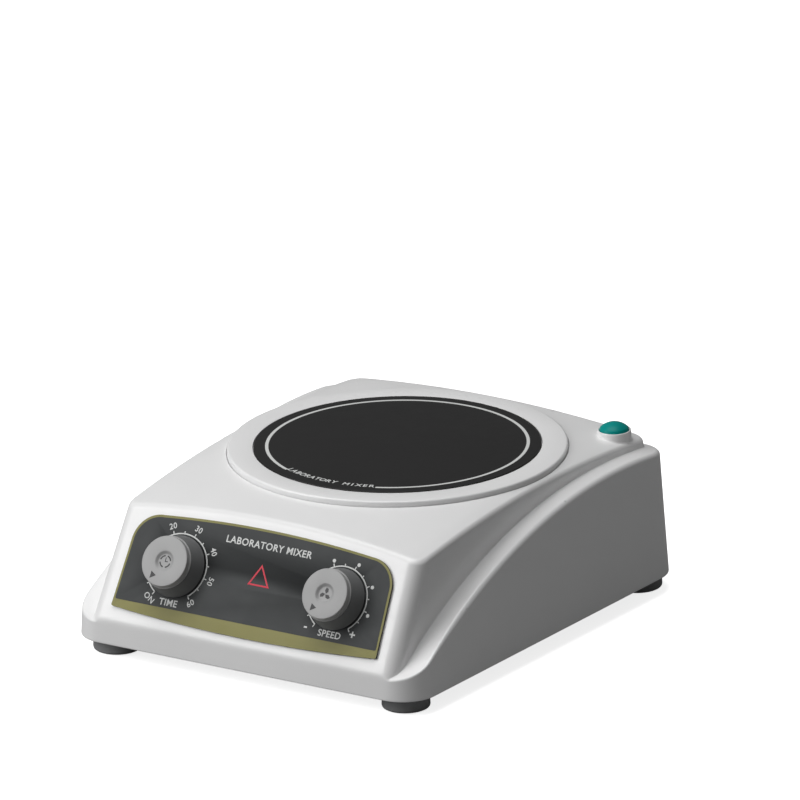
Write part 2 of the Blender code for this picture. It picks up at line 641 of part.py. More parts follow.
def mains_inlet():
    frame = inlet_frame()
    inlet = prism("power_inlet", rounded(-25, 25, -16, 16, 3, 3, 3), GAP, 2.7,
                  BLACK_PLASTIC, frame)
    join(inlet, box("body", (-13.8, 13.8), (-14.2, 14.2), (-27.0, 1.5), matrix=frame))
    cut(inlet, prism("recess", socket_outline(11.3, -3.4, 12.0, 4.0), -15.0, 5.0,
                     matrix=frame))
    cut(inlet, box("drawer_slot", (-10.5, 10.5), (-12.4, -5.4), (-25.0, 5.0), matrix=frame))
    pins = (("line", -7.0, 2.6), ("earth", 0.0, 6.2), ("neutral", 7.0, 2.6))
    for label, x, y in pins:
        cut(inlet, box("pin_slot", (x - 1.35, x + 1.35), (y - 2.35, y + 2.35),
                       (-30.0, -12.0), matrix=frame))
        box(f"inlet_pin_{label}", (x - 1.0, x + 1.0), (y - 2.0, y + 2.0),
            (-33.0, -3.0), BRASS, frame)
    for side, label in ((-1, "left"), (1, "right")):
        place = frame @ at(side * 20.0, 0)
        cut(inlet, rod("hole", 1.7, -2.0, 6.0, 12, matrix=place))
        screw(f"inlet_screw_{label}", 2.7, 3.0, 4.5, 1.3, -6.0, place)
    drawer = box("fuse_drawer", (-10.1, 10.1), (-12.0, -5.8), (-24.4, 3.4),
                 BLACK_PLASTIC, frame)
    join(drawer, box("lip", (-11.3, 11.3), (-13.0, -4.8), (3.0, 4.6), matrix=frame))
    cut(drawer, box("tray", (-3.0, 3.0), (-11.6, -4.0), (-23.0, -1.6), matrix=frame))
    lying = frame @ at(0, -8.7, -22.6)
    lathe("fuse", [(0, 0), (2.5, 0), (2.5, 20.0), (0, 20.0)], 16, GLASS, lying)


housing_shell()
bottom_cover()
feet()
stirring_plate()
control_face()
power_button()
motor()
motor_bracket()
magnet_drive()
electronics()
mains_inlet()
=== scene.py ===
"""Looks of the magnetic stirrer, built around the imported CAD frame. Lengths are in millimetres
until a mesh is made; X is right, Y the rear and Z up, as in the frame."""
import json
import math

import bmesh
import bpy
import numpy as np
from mathutils import Matrix, Vector


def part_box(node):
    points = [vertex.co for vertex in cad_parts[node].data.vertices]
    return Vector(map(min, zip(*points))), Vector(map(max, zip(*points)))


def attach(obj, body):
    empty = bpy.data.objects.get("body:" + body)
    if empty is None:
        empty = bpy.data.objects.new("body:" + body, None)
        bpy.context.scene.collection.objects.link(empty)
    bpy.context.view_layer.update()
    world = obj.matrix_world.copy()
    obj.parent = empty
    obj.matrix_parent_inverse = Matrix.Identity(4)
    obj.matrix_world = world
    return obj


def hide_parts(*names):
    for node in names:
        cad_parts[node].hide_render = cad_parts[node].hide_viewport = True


MM = 0.001
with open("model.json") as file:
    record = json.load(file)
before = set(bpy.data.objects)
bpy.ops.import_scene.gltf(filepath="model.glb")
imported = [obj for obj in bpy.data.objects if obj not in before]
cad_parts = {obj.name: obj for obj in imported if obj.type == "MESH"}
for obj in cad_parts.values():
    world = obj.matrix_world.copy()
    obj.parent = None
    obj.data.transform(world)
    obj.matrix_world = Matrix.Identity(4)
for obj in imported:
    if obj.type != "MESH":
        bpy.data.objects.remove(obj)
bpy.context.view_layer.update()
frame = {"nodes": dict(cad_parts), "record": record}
nodes = frame["nodes"]

# --- dimensions, as in the CAD ------------------------------------------------
BASE_Z = 6.4
HALF_WIDTH = 80.1
HALF_DEPTH = 93.5
FRONT_CORNER, REAR_CORNER = 14.0, 16.0  # radii of the outer walls, seen from above
NOSE_Z = 16.3
WING_Y, WING_Z, WING_R = 52.0, 57.7, 257.0
NOSE_Y, NOSE_LIFT = -80.0, 0.0126
SLOPE = math.radians(60)
FOOT_Y = -93.15  # foot of the control face
CORE_HALF = 70.4
CORE_REAR = 87.2
DECK_TOP, DECK_Y = 66.9, 21.0
DECK_ACROSS, DECK_ALONG = 1150.0, 1180.0  # twice the deck's radius in each direction
DECK_ROLL = 0.6  # how much more it falls away near its sides
SIDE_DRAFT = math.tan(math.radians(3.6))
END_DRAFT = math.tan(math.radians(2.5))
CORE_DRAFT = math.tan(math.radians(2.9))
WALL = 2.6
PLATE_Y = 17.0
RING_RADIUS, RING_TOP = 65.5, 65.15
DISC_RADIUS, DISC_TOP = 55.2, 65.4
DIAL_V = 25.5
TIME_U, SPEED_U = -36.5, 37.4
KNOB_RADIUS, KNOB_TOP = 10.0, 11.3
KNOB_DISH = 0.8
DIAL_HOLE = 4.1
SCALE_START, SCALE_STEP = -147.6, 20.7  # degrees from the top, clockwise
PANEL_Z = 1.1  # the panel's face, over the control face
BUTTON = (60.5, 76.0)
BUTTON_RADIUS, BUTTON_HOLE = 5.5, 5.85
INLET = (-38.0, 30.0)  # x and z of the middle of the mains inlet
INLET_DEPTH = 2.9
FOOT_RADIUS = 9.5
INK = 0.02  # print stands this much above its ground

# --- light and view -----------------------------------------------------------
AMBIENT = 0.12
# name, direction, distance and width in metres, power in watts
LIGHTS = [
    ("key", (-0.53, -0.68, 0.51), 1.3, 0.95, 10.5),
    ("top", (-0.12, -0.05, 1.0), 1.5, 1.1, 13.5),
]
FLOOR_SEEN, FLOOR_BOUNCE, FLOOR_GLOW = 0.95, 0.28, 0.8
AZIMUTH, ELEVATION, ROLL = 34.17, 19.49, 1.26  # degrees
VIEW_WIDTH = 306.75  # the view is a parallel projection
VIEW_SHIFT = (0.96, 16.85)  # middle of the view, right of and above the plate's middle


# --- surfaces -----------------------------------------------------------------
def finish(name, rgb, rough, metallic=0.0, vary=0.03, grain=900.0, bump=0.04,
           scratches=0.0, specular=0.5):
    """Procedural surface: mottled colour, uneven gloss and a moulded or brushed grain."""
    mat = bpy.data.materials.new(name)
    mat.use_nodes = True
    tree = mat.node_tree
    shader = tree.nodes["Principled BSDF"]
    shader.inputs["Metallic"].default_value = metallic
    shader.inputs["Specular IOR Level"].default_value = specular
    link = tree.links.new
    place = tree.nodes.new("ShaderNodeTexCoord").outputs["Object"]

    def noise(scale, detail, source=place):
        node = tree.nodes.new("ShaderNodeTexNoise")
        node.inputs["Scale"].default_value = scale
        node.inputs["Detail"].default_value = detail
        link(source, node.inputs["Vector"])
        return node.outputs["Fac"]

    def spread(fac, low, high):
        node = tree.nodes.new("ShaderNodeMapRange")
        node.inputs["From Min"].default_value = 0.3
        node.inputs["From Max"].default_value = 0.7
        node.inputs["To Min"].default_value = low
        node.inputs["To Max"].default_value = high
        link(fac, node.inputs["Value"])
        return node.outputs["Result"]

    patches = noise(38.0, 4.0)
    ramp = tree.nodes.new("ShaderNodeValToRGB")
    ramp.color_ramp.elements[0].position = 0.3
    ramp.color_ramp.elements[1].position = 0.7
    ramp.color_ramp.elements[0].color = (*(c * (1 - vary) for c in rgb), 1)
    ramp.color_ramp.elements[1].color = (*(min(1.0, c * (1 + vary)) for c in rgb), 1)
    link(patches, ramp.inputs["Fac"])
    link(ramp.outputs["Color"], shader.inputs["Base Color"])
    link(spread(noise(120.0, 3.0), rough * 0.9, rough * 1.1), shader.inputs["Roughness"])
    if scratches:
        stretch = tree.nodes.new("ShaderNodeMapping")
        stretch.inputs["Scale"].default_value = (1.0, scratches, 1.0)
        link(place, stretch.inputs["Vector"])
        texture = noise(grain, 2.0, stretch.outputs["Vector"])
    else:
        texture = noise(grain, 2.0)
    relief = tree.nodes.new("ShaderNodeBump")
    relief.inputs["Strength"].default_value = bump
    relief.inputs["Distance"].default_value = 0.0002
    link(texture, relief.inputs["Height"])
    link(relief.outputs["Normal"], shader.inputs["Normal"])
    return mat


SLOTS = {
    "white": finish("white_plastic", (0.80, 0.80, 0.80), 0.32, vary=0.012, bump=0.05,
                    specular=0.75),
    "grey_cover": finish("grey_plastic", (0.30, 0.30, 0.31), 0.6, bump=0.2),
    "panel_grey": finish("panel_film", (0.056, 0.059, 0.060), 0.62, grain=2600.0, bump=0.10,
                         specular=0.25),
    "disc_black": finish("disc_black", (0.016, 0.016, 0.016), 0.4, grain=1500.0, bump=0.05,
                         specular=0.3),
    "knob_grey": finish("knob_plastic", (0.33, 0.33, 0.33), 0.42, grain=1600.0, bump=0.08),
    "teal": finish("button_plastic", (0.001, 0.25, 0.23), 0.34, vary=0.04, specular=0.12),
    # The rubber is given a lighter grey than its own: partly its own colour, partly painted
    # light that makes up for the shade under the housing.
    "rubber": finish("rubber", (0.24, 0.242, 0.246), 0.8, vary=0.12, grain=1800.0, bump=0.35),
    "steel": finish("zinc_steel", (0.60, 0.61, 0.62), 0.33, 1.0, scratches=18.0, bump=0.1),
    "magnet": finish("nickel", (0.64, 0.62, 0.58), 0.2, 1.0),
    "black_plastic": finish("black_plastic", (0.03, 0.03, 0.031), 0.5, vary=0.06, bump=0.12),
    "black_steel": finish("black_steel", (0.05, 0.05, 0.055), 0.4, 0.8),
    "heatsink": finish("aluminium", (0.72, 0.72, 0.73), 0.4, 1.0, scratches=12.0, bump=0.1),
    "brass": finish("brass", (0.75, 0.56, 0.26), 0.28, 1.0, scratches=8.0),
    "board_green": finish("board_green", (0.02, 0.15, 0.06), 0.4, vary=0.12),
    "fuse_glass": finish("fuse_glass", (0.70, 0.74, 0.74), 0.08, vary=0.02, bump=0.0),
}
GOLD = finish("panel_gold", (0.250, 0.235, 0.090), 0.5, grain=2400.0, bump=0.08, specular=0.2)
PRINT_WHITE = finish("white_print", (0.62, 0.63, 0.62), 0.55, grain=3000.0, bump=0.05)
# The cone's grey is lighter than its dark plastic: partly its own colour, partly painted light
# that makes up for the shade under the knob's cap.
SKIRT_GREY_PAINTED_LIGHT = finish("skirt_plastic_painted_light", (0.165, 0.168, 0.170), 0.6, bump=0.1, specular=0.25)
PRINT_DARK = finish("dark_print", (0.03, 0.03, 0.032), 0.5, grain=3000.0, bump=0.05)
PRINT_RED = finish("red_print", (0.60, 0.006, 0.035), 0.5, vary=0.05, grain=3000.0)

for part in frame["record"]["subparts"]:
    mesh = nodes[part["node"]].data
    mesh.materials.clear()
    mesh.materials.append(SLOTS[part["material_slot"]])


# --- mesh tools ---------------------------------------------------------------
def piece(name, bm, mats, body, matrix=None, angle=30):
    """Turn a bmesh in millimetres into a piece in metres that rides on a body."""
    bmesh.ops.remove_doubles(bm, verts=bm.verts, dist=1e-5)
    bmesh.ops.recalc_face_normals(bm, faces=bm.faces)
    bmesh.ops.scale(bm, vec=(MM, MM, MM), verts=bm.verts)
    if matrix is not None:
        bm.transform(matrix)
    mesh = bpy.data.meshes.new(name)
    bm.to_mesh(mesh)
    bm.free()
    mesh.shade_smooth()
    mesh.set_sharp_from_angle(angle=math.radians(angle))
    for mat in mats:
        mesh.materials.append(mat)
    obj = bpy.data.objects.new(name, mesh)
    bpy.context.scene.collection.objects.link(obj)
    if body:
        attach(obj, body)
    return obj


def at(x, y, z=0.0):
    """Frame at a point given in millimetres."""
    return Matrix.Translation(Vector((x, y, z)) * MM)


def on_slope(u, v, h=0.0):
    """Frame on the control face: u across, v up from its foot and h above it."""
    y = FOOT_Y + v * math.cos(SLOPE)
    z = NOSE_Z + v * math.sin(SLOPE)
    return at(u, y, z) @ Matrix.Rotation(SLOPE, 4, "X") @ at(0, 0, h)


def lathe(name, profile, steps, mats, body, matrix, angle=30):
    """Turn a profile of (radius, height) points round the vertical axis."""
    bm = bmesh.new()
    verts = [bm.verts.new((r, 0.0, z)) for r, z in profile]
    edges = [bm.edges.new(pair) for pair in zip(verts, verts[1:])]
    bmesh.ops.spin(bm, geom=verts + edges, cent=(0, 0, 0), axis=(0, 0, 1),
                   angle=2 * math.pi, steps=steps, use_merge=True)
    return piece(name, bm, mats, body, matrix, angle)


def round_off(profile, radii, steps=5):
    """Replace corners of an open profile by arcs; radii gives one radius per point."""
    out = []
    for i, (point, radius) in enumerate(zip(profile, radii)):
        if not radius or i in (0, len(profile) - 1):
            out.append(point)
            continue
        here = Vector(point)
        a = (Vector(profile[i - 1]) - here).normalized()
        b = (Vector(profile[i + 1]) - here).normalized()
        half = a.angle(b) / 2
        reach = radius / math.tan(half)
        centre = here + (a + b).normalized() * (radius / math.sin(half))
        start = here + a * reach - centre
        end = here + b * reach - centre
        for k in range(steps + 1):
            out.append(tuple(centre + start.slerp(end, k / steps).normalized() * radius))
    return out


def smooth(value, low, high):
    """Soft step from 0 at low to 1 at high."""
    t = np.clip((value - low) / (high - low), 0, 1)
    return t * t * (3 - 2 * t)


# --- housing ------------------------------------------------------------------
def intersect(a, b, radius):
    """Smooth maximum of two distance fields, with a fillet of that radius."""
    u = np.maximum(radius + a, 0)
    v = np.maximum(radius + b, 0)
    return np.minimum(-radius, np.maximum(a, b)) + np.hypot(u, v)


def unite(a, b, radius):
    """Smooth minimum of two distance fields."""
    return -intersect(-a, -b, radius)


def deck_height(x, y):
    """Height of the crowned deck, in mm."""
    roll = DECK_ROLL * smooth(np.abs(x), 61, 70)
    return DECK_TOP - roll - x ** 2 / DECK_ACROSS - (y - DECK_Y) ** 2 / DECK_ALONG


def housing_field(p, inset=0.0):
    """Signed distance to the housing's outer surface, in mm, moved inwards by inset."""
    x, y, z = np.abs(p[:, 0]), p[:, 1], p[:, 2]
    side_lean = (z - BASE_Z) * SIDE_DRAFT
    end_lean = (z - BASE_Z) * END_DRAFT
    corner = np.where(y < 0, FRONT_CORNER, REAR_CORNER) - side_lean
    qx = x - (HALF_WIDTH - side_lean) + corner
    qy = np.abs(y) - (HALF_DEPTH - end_lean) + corner
    walls = (np.minimum(np.maximum(qx, qy), 0) - corner
             + np.hypot(np.maximum(qx, 0), np.maximum(qy, 0))) + inset
    run = np.clip(y - WING_Y, -200, 200)
    drop = np.sqrt(WING_R ** 2 - run ** 2)
    nose = np.maximum(NOSE_Y - y, 0)
    height = WING_Z - WING_R + drop + NOSE_LIFT * nose ** 2
    wing = (z - height) * drop / WING_R + inset
    side = x - (CORE_HALF - (z - NOSE_Z) * CORE_DRAFT) + inset
    front = (-(y - FOOT_Y) * math.sin(SLOPE) + (z - NOSE_Z) * math.cos(SLOPE)) + inset
    rear = y - (CORE_REAR - (z - DECK_TOP) * END_DRAFT) + inset
    deck = (z - deck_height(p[:, 0], y)) * 0.99 + inset
    core = intersect(intersect(side, front, 6.0), rear, 5.0)
    core = intersect(core, deck, 1.5)
    edge = 0.6 + 1.2 * smooth(y, -90, -55)
    body = intersect(walls, unite(wing, core, 0.35), edge)
    return intersect(body, BASE_Z - z + (-4.0 if inset else 0.0), 0.6)


def gradient(field, p):
    """Unit normals of the field's surface at the points."""
    step = 0.02
    axes = np.eye(3) * step
    g = np.stack([field(p + a) - field(p - a) for a in axes], axis=1)
    return g / np.maximum(np.linalg.norm(g, axis=1, keepdims=True), 1e-9)


HEART = np.array([0.0, 6.0, 16.0])  # a point that sees the whole surface


def project(field, p):
    """Move points along their rays from the heart until they are on the surface."""
    ray = p - HEART
    ray /= np.linalg.norm(ray, axis=1, keepdims=True)
    low = np.zeros(len(p))
    high = np.full(len(p), 170.0)
    for _ in range(34):
        middle = (low + high) / 2
        inside = field(HEART + ray * middle[:, None]) < 0
        low = np.where(inside, middle, low)
        high = np.where(inside, high, middle)
    return HEART + ray * low[:, None]


def field_mesh(field, cells, rounds):
    """Closed mesh of a field: a projected box grid, refined where the surface turns."""
    bm = bmesh.new()
    bmesh.ops.create_cube(bm, size=2.0)
    bmesh.ops.subdivide_edges(bm, edges=bm.edges, cuts=cells, use_grid_fill=True)
    half = np.array([82.0, 96.0, 30.0])
    points = np.array([v.co for v in bm.verts]) * half + np.array([0.0, 0.0, 36.0])
    points = project(field, points)
    for vert, point in zip(bm.verts, points):
        vert.co = point
    bmesh.ops.triangulate(bm, faces=bm.faces)
    for limit, shortest in rounds:
        bm.verts.index_update()
        points = np.array([v.co for v in bm.verts])
        normals = gradient(field, points)
        ends = np.array([[v.index for v in e.verts] for e in bm.edges])
        turn = (normals[ends[:, 0]] * normals[ends[:, 1]]).sum(axis=1)
        length = np.linalg.norm(points[ends[:, 0]] - points[ends[:, 1]], axis=1)
        middle = (points[ends[:, 0]] + points[ends[:, 1]]) / 2
        off = np.abs(field(middle))
        bent = (turn < math.cos(math.radians(limit))) | (off > 0.05)
        marked = [e for e, pick in zip(list(bm.edges), bent & (length > shortest)) if pick]
        old = len(bm.verts)
        bmesh.ops.subdivide_edges(bm, edges=marked, cuts=1)
        bmesh.ops.triangulate(bm, faces=[f for f in bm.faces if len(f.verts) > 3])
        bm.verts.ensure_lookup_table()
        new = list(bm.verts)[old:]
        if new:
            for vert, point in zip(new, project(field, np.array([v.co for v in new]))):
                vert.co = point
    unfold(field, bm)
    return bm


def unfold(field, bm):
    """Even out the vertices of the few triangles that the refinement left on edge."""
    for _ in range(3):
        bm.normal_update()
        soft = gradient(field, np.array([v.co for v in bm.verts]))
        folded = [v for v, n in zip(bm.verts, soft)
                  if any(f.normal.dot(Vector(n)) < 0.35 for f in v.link_faces)]
        if not folded:
            return
        marked = set(folded)
        middles = [sum((e.other_vert(v).co for e in v.link_edges), Vector())
                   / len(v.link_edges) for v in folded]
        for vert, point in zip(folded, project(field, np.array(middles))):
            vert.co = point
        near = [f for f in bm.faces if any(v in marked for v in f.verts)]
        touched = set(near)
        edges = [e for e in bm.edges if any(f in touched for f in e.link_faces)]
        bmesh.ops.beautify_fill(bm, faces=near, edges=edges, method="ANGLE")


def subtract(obj, bm, matrix=None):
    """Cut a bmesh in millimetres out of an object."""
    tool = piece("tool", bm, [], None, matrix)
    step = obj.modifiers.new("cut", "BOOLEAN")
    step.operation = "DIFFERENCE"
    step.solver = "EXACT"
    step.object = tool
    bpy.context.view_layer.update()
    graph = bpy.context.evaluated_depsgraph_get()
    mesh = bpy.data.meshes.new_from_object(obj.evaluated_get(graph))
    obj.modifiers.remove(step)
    obj.data = mesh
    bpy.data.objects.remove(tool, do_unlink=True)


def drum(radius, bottom, top, steps):
    """Upright cylinder."""
    bm = bmesh.new()
    bmesh.ops.create_cone(bm, cap_ends=True, segments=steps, radius1=radius, radius2=radius,
                          depth=top - bottom)
    bmesh.ops.translate(bm, verts=bm.verts, vec=(0, 0, (top + bottom) / 2))
    return bm


def block(size, centre):
    """Box of that size about a centre."""
    bm = bmesh.new()
    bmesh.ops.create_cube(bm, size=1.0)
    bmesh.ops.scale(bm, vec=size, verts=bm.verts)
    bmesh.ops.translate(bm, verts=bm.verts, vec=centre)
    return bm


def inlet_frame():
    """Frame at the bottom of the inlet's pocket, facing out of the rear wall."""
    x, z = INLET
    y = HALF_DEPTH - (z - BASE_Z) * END_DRAFT
    turn = (Matrix.Rotation(math.pi, 4, "Z")
            @ Matrix.Rotation(math.pi / 2 - math.atan(END_DRAFT), 4, "X"))
    return at(x, y, z) @ turn @ at(0, 0, -INLET_DEPTH)


def hollow_tool():
    """Inside of the housing: the plate's seat, the inlet's pocket and the button's well
    stay solid round it."""
    hollow = field_mesh(lambda p: housing_field(p, WALL), 20, [(20, 4.0)])
    store = piece("hollow", hollow, [], None)
    subtract(store, drum(RING_RADIUS + 5.0, 58.4, 70.0, 96), at(0, PLATE_Y))
    subtract(store, block((56, 38, 7.6), (0, 0, 1.2)), inlet_frame())
    subtract(store, block((18.6, 18.6, 22), (0, 0, 55)), at(*BUTTON))
    tool = bmesh.new()
    tool.from_mesh(store.data)
    bmesh.ops.scale(tool, vec=(1 / MM,) * 3, verts=tool.verts)
    bpy.data.objects.remove(store, do_unlink=True)
    return tool


def housing():
    # Each round splits the edges that turn by more than so many degrees and are longer
    # than so many millimetres.
    rounds = [(14, 2.5), (12, 1.6), (10, 1.0), (9, 0.7), (9, 0.45), (9, 0.3)]
    shell = piece("housing", field_mesh(housing_field, 44, rounds), [SLOTS["white"]], None)
    subtract(shell, hollow_tool())
    # The seat of the plate and the opening under it.
    subtract(shell, drum(RING_RADIUS + 0.4, 61.9, 70.0, 192), at(0, PLATE_Y))
    subtract(shell, drum(58.0, 50.0, 62.5, 96), at(0, PLATE_Y))
    # The button's hole and the switch's slot.
    subtract(shell, drum(BUTTON_HOLE, 50.0, 70.0, 64), at(*BUTTON))
    subtract(shell, block((6.0, 15.6, 14), (0, 0, 50.9)), at(*BUTTON))
    for u in (TIME_U, SPEED_U):
        subtract(shell, drum(DIAL_HOLE, -8.0, 4.0, 32), on_slope(u, DIAL_V))
    # The inlet's pocket, then the opening behind its flange.
    subtract(shell, block((50.8, 32.8, 8), (0, 0, 4)), inlet_frame())
    subtract(shell, block((28.4, 29.2, 14), (0, 0, -1)), inlet_frame())
    set_field_normals(shell.data)
    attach(shell, "body")
    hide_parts("housing_shell")


def set_field_normals(mesh):
    """Shade the outer surface with the field's own normals, and the cut faces flat."""
    count = len(mesh.vertices)
    points = np.empty(count * 3)
    mesh.vertices.foreach_get("co", points)
    points = points.reshape(-1, 3) / MM
    soft = gradient(housing_field, points)
    on_surface = np.abs(housing_field(points)) < 0.03
    corner_vert = np.empty(len(mesh.loops), dtype=int)
    mesh.loops.foreach_get("vertex_index", corner_vert)
    flat = np.empty(len(mesh.polygons) * 3)
    mesh.polygons.foreach_get("normal", flat)
    flat = flat.reshape(-1, 3)
    sizes = np.empty(len(mesh.polygons), dtype=int)
    mesh.polygons.foreach_get("loop_total", sizes)
    face_of = np.repeat(np.arange(len(sizes)), sizes)
    shade = soft[corner_vert]
    facing = (shade * flat[face_of]).sum(axis=1) > 0.4
    use = on_surface[corner_vert] & facing
    shade = np.where(use[:, None], shade, flat[face_of])
    mesh.normals_split_custom_set(shade.tolist())


def button_collar():
    """Raised ring round the button, with a small fillet where it meets the deck."""
    # radius, height, and whether the height is over the deck
    rings = [(BUTTON_HOLE, 62.0, 0), (BUTTON_HOLE, 63.8, 0), (5.92, 64.08, 0), (6.1, 64.2, 0),
             (6.3, 64.2, 0), (6.44, 64.1, 0), (6.5, 63.85, 0), (6.55, 0.6, 1), (6.62, 0.3, 1),
             (6.8, 0.1, 1), (7.05, 0.0, 1), (7.1, -0.3, 1), (BUTTON_HOLE, -0.6, 1)]
    steps = 96
    bm = bmesh.new()
    loops = []
    for radius, height, over_deck in rings:
        loop = []
        for i in range(steps):
            a = 2 * math.pi * i / steps
            x = BUTTON[0] + radius * math.cos(a)
            y = BUTTON[1] + radius * math.sin(a)
            z = height + (deck_height(x, y) if over_deck else 0.0)
            loop.append(bm.verts.new((x, y, z)))
        loops.append(loop)
    for low, high in zip(loops, loops[1:] + loops[:1]):
        for i in range(steps):
            j = (i + 1) % steps
            bm.faces.new((low[i], low[j], high[j], high[i]))
    ring = piece("button_collar", bm, [SLOTS["white"]], "body", angle=60)


def power_button():
    radius, base, rise = BUTTON_RADIUS, 64.95, 2.2
    ball = (radius ** 2 + rise ** 2) / (2 * rise)
    top = math.asin(radius / ball)
    dome = [(ball * math.sin(top * (1 - i / 14)), base + rise - ball
             + ball * math.cos(top * (1 - i / 14))) for i in range(15)]
    profile = [(0, 54.9), (2, 54.9), (2, 55.6), (radius, 55.6), *dome]
    obj = lathe("power_button_cap", profile, 96, [SLOTS["teal"]], "button", at(*BUTTON), 60)
    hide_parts("power_button")


# --- plate --------------------------------------------------------------------
def stirring_plate():
    """Ring, inlaid disc and the line of print on it, which is broken by words at the front."""
    axis = at(0, PLATE_Y)
    profile = [(0, 62.2), (54, 62.2), (54, 59.6), (57.6, 59.6), (57.6, 62.2),
               (RING_RADIUS, 62.2), (RING_RADIUS, RING_TOP), (DISC_RADIUS + 0.4, RING_TOP),
               (DISC_RADIUS + 0.4, 63.4), (0, 63.4)]
    radii = [0, 0, 0, 0, 0, 0, 0.9, 0.12, 0, 0]
    ring = lathe("stirring_plate", round_off(profile, radii), 240, [SLOTS["white"]],
                 "body", axis)
    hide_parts("top_plate")
    profile = [(0, 63.7), (DISC_RADIUS, 63.7), (DISC_RADIUS, DISC_TOP), (0, DISC_TOP)]
    disc = lathe("plate_inlay", round_off(profile, [0, 0, 0.25, 0]), 240,
                 [SLOTS["disc_black"]], "body", axis)
    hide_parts("plate_disc")
    ground = at(0, PLATE_Y, DISC_TOP + INK)
    arc_strip("plate_line", 49.55, 50.8, -66.0, 246.0, 200, PRINT_WHITE, ground)
    arc_text("plate_lettering", "LABORATORY MIXER", 48.9, 2.55, -90.6, ground, spread=1.4)


# --- printing -----------------------------------------------------------------
def print_face(name, outline, mat, matrix, body="body", thick=0.03):
    """Thin printed shape with that outline."""
    bm = bmesh.new()
    bottom = [bm.verts.new((x, y, 0)) for x, y in outline]
    top = [bm.verts.new((x, y, thick)) for x, y in outline]
    bm.faces.new(bottom[::-1])
    bm.faces.new(top)
    for i in range(len(outline)):
        j = (i + 1) % len(outline)
        bm.faces.new((bottom[i], bottom[j], top[j], top[i]))
    return piece(name, bm, [mat], body, matrix)


def arc_strip(name, inner, outer, start, end, steps, mat, matrix, body="body"):
    """Printed strip along part of a circle; it never closes on itself."""
    outline = [polar(outer, start + (end - start) * i / steps) for i in range(steps + 1)]
    outline += [polar(inner, end + (start - end) * i / steps) for i in range(steps + 1)]
    return print_face(name, outline, mat, matrix, body)


def polar(radius, degrees):
    a = math.radians(degrees)
    return radius * math.cos(a), radius * math.sin(a)


def lettering(name, text, height, matrix, mat=PRINT_WHITE, body="body", weight=0.045):
    """One line of print, centred on its place."""
    curve = bpy.data.curves.new(name, "FONT")
    curve.body = text
    curve.size = height * MM / 0.7
    curve.align_x = "CENTER"
    curve.align_y = "CENTER"
    curve.offset = weight * height * MM / 3
    curve.space_character = 1.06
    curve.resolution_u = 3
    curve.extrude = 0.00001
    curve.materials.append(mat)
    obj = bpy.data.objects.new(name, curve)
    bpy.context.scene.collection.objects.link(obj)
    obj.matrix_world = matrix
    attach(obj, body)
    return obj


def arc_text(name, text, radius, height, middle, matrix, spread):
    """Letters set round a circle, their feet outwards."""
    step = math.degrees(height * 0.72 * spread / radius)
    for i, letter in enumerate(text):
        if letter == " ":
            continue
        angle = middle + (i - (len(text) - 1) / 2) * step
        x, y = polar(radius, angle)
        turn = math.radians(angle + 90)
        lettering(f"{name}_{i + 1}", letter, height,
                  matrix @ at(x, y) @ Matrix.Rotation(turn, 4, "Z"), weight=0.09)


# --- control panel ------------------------------------------------------------
def panel_outline(edge, foot, belly):
    """Panel edge moved inwards by edge; its foot sags by belly in the middle."""
    side_x, side_v, corner, crest = 59.8 - edge, 32.4, 11.8 - edge, 46.5 - edge
    foot_x = 61.0 - edge
    right = [(foot_x - 0.6, foot), (foot_x - 0.18, foot + 0.18), (foot_x, foot + 0.6)]
    for i in range(19):
        a = math.radians(90 * i / 18)
        right.append((side_x - corner + corner * math.cos(a), side_v + corner * math.sin(a)))
    reach = side_x - corner
    crown = side_v + corner
    for i in range(1, 13):
        t = 1 - i / 12
        right.append((reach * t, crown + (crest - crown) * (1 - t ** 2)))
    sag = [(foot_x * (i / 8 - 1), foot - belly * (1 - (i / 8 - 1) ** 2)) for i in range(1, 16)]
    return right + [(-x, v) for x, v in reversed(right[:-1])] + sag


def slab(name, outline, bottom, top, mats, holes=()):
    """Plate on the control face; its edge takes the second material."""
    bm = bmesh.new()
    low = [bm.verts.new((x, y, bottom)) for x, y in outline]
    high = [bm.verts.new((x, y, top)) for x, y in outline]
    bm.faces.new(low[::-1])
    bm.faces.new(high)
    for i in range(len(low)):
        j = (i + 1) % len(low)
        bm.faces.new((low[i], low[j], high[j], high[i])).material_index = len(mats) - 1
    obj = piece(name, bm, mats, None, on_slope(0, 0))
    for u in holes:
        subtract(obj, drum(DIAL_HOLE, -3.0, 5.0, 48), on_slope(u, DIAL_V))
    obj.name = name
    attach(obj, "body")
    return obj


def control_panel():
    """Gold sheet under a dark film that leaves its border showing."""
    back = slab("panel_plate", panel_outline(0.0, 5.9, 2.5), 0.3, PANEL_Z - 0.05,
                [GOLD, PRINT_DARK], (TIME_U, SPEED_U))
    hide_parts("control_panel")
    film = slab("panel_film", panel_outline(0.95, 8.9, 0.0), PANEL_Z - 0.04, PANEL_Z,
                [SLOTS["panel_grey"]], (TIME_U, SPEED_U))
    h = PANEL_Z + INK / 2
    lettering("heading", "LABORATORY MIXER", 2.75, on_slope(1.3, 40.0, h), weight=0.07)
    lettering("time_word", "TIME", 2.6, on_slope(-36.3, 11.1, h), weight=0.06)
    lettering("speed_word", "SPEED", 2.6, on_slope(37.9, 11.5, h), weight=0.06)
    lettering("speed_less", "-", 3.4, on_slope(26.6, 13.0, h), weight=0.1)
    lettering("speed_more", "+", 3.4, on_slope(48.0, 13.0, h), weight=0.1)
    triangle(h)
    scale("time", TIME_U, h)
    scale("speed", SPEED_U, h)
    time_labels(h)
    for i, angle in enumerate((-22.4, 20.3, 62.6, 104.6), start=1):
        x, y = polar(15.6, 90 - angle)
        dot = [polar(0.75, 20 * k) for k in range(18)]
        print_face(f"speed_dot_{i}", dot, PRINT_WHITE, on_slope(SPEED_U + x, DIAL_V + y, h))


